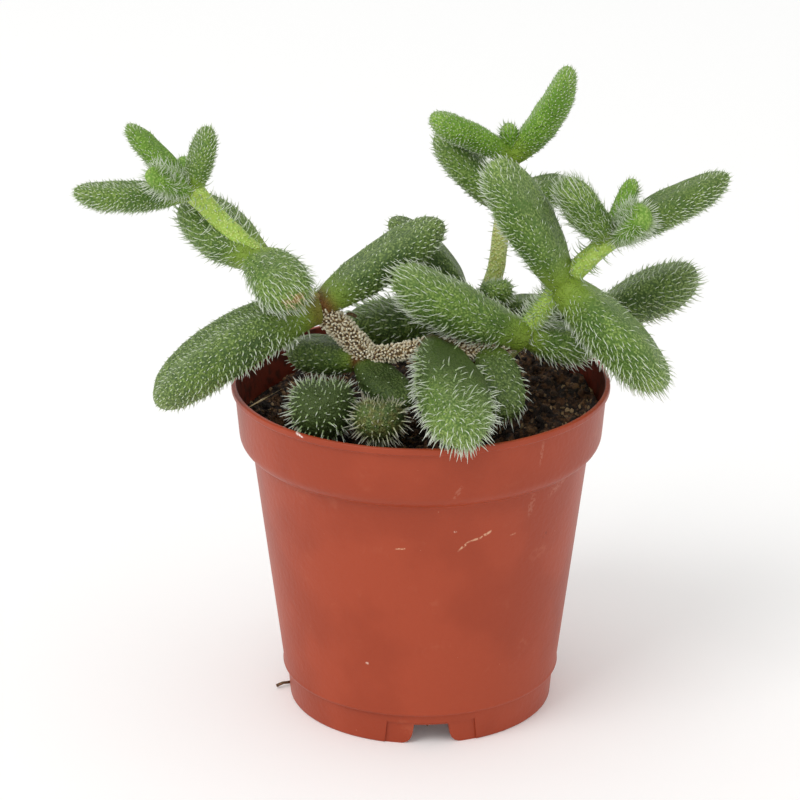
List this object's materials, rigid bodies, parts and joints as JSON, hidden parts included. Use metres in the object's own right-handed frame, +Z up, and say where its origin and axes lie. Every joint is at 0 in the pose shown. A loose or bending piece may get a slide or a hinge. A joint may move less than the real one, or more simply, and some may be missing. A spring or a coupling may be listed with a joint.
{
  "type": "potted succulent plant",
  "caption": "Small bushy succulent with plump bristly leaves on short forking stems, standing in soil in a round tapered plastic nursery pot with notches round its foot.",
  "frame": {"origin": "centre of the overall box in plan, on the surface that the pot stands on", "axes": "+Z up along the pot's axis, -Y towards the side seen in the picture, +X to its right"},
  "size_m": [0.0928, 0.0606, 0.0922],
  "materials": {
    "terracotta_plastic": "satin terracotta-coloured moulded plastic",
    "peat": "dark crumbly peat with fibres",
    "bark": "pale woody stem with dense stubble",
    "young_stem": "fresh light green stem",
    "old_stem": "dull green ageing stem",
    "old_leaf": "dark green fleshy leaf with white bristles",
    "leaf": "green fleshy leaf with white bristles",
    "young_leaf": "bright green young fleshy leaf with fine white bristles"
  },
  "bodies": {
    "root": {"pot": "terracotta_plastic", "soil": "peat", "stem_trunk": "bark", "stem_branch": "bark", "stem_left": "young_stem", "stem_right": "young_stem", "stem_back": "old_stem", "stem_side": "old_stem", "stem_front_left": "old_stem", "stem_front": "old_stem", "leaf_left_long": "old_leaf", "leaf_left_inner": "old_leaf", "leaf_left_behind": "leaf", "leaf_left_towards": "leaf", "leaf_left_tip_out": "leaf", "leaf_left_tip_up": "leaf", "leaf_left_tip_back": "young_leaf", "leaf_left_bud": "young_leaf", "leaf_left_bud_back": "young_leaf", "leaf_fork_right": "old_leaf", "leaf_fork_left": "old_leaf", "leaf_front_long": "leaf", "leaf_front_hanging": "old_leaf", "leaf_right_long": "leaf", "leaf_right_low": "leaf", "leaf_right_raised": "leaf", "leaf_right_hanging": "leaf", "leaf_right_tip_left": "leaf", "leaf_right_tip_out": "leaf", "leaf_right_bud": "young_leaf", "leaf_right_bud_back": "young_leaf", "leaf_middle": "old_leaf", "leaf_back_inner": "old_leaf", "leaf_back_stub": "leaf", "leaf_back_left": "leaf", "leaf_back_right": "leaf", "leaf_back_tip_left": "young_leaf", "leaf_back_tip_right": "young_leaf", "leaf_back_bud": "young_leaf", "leaf_side_out": "old_leaf", "leaf_side_in": "old_leaf", "leaf_front_ball": "old_leaf", "leaf_front_low": "old_leaf"}
  },
  "joints": []
}
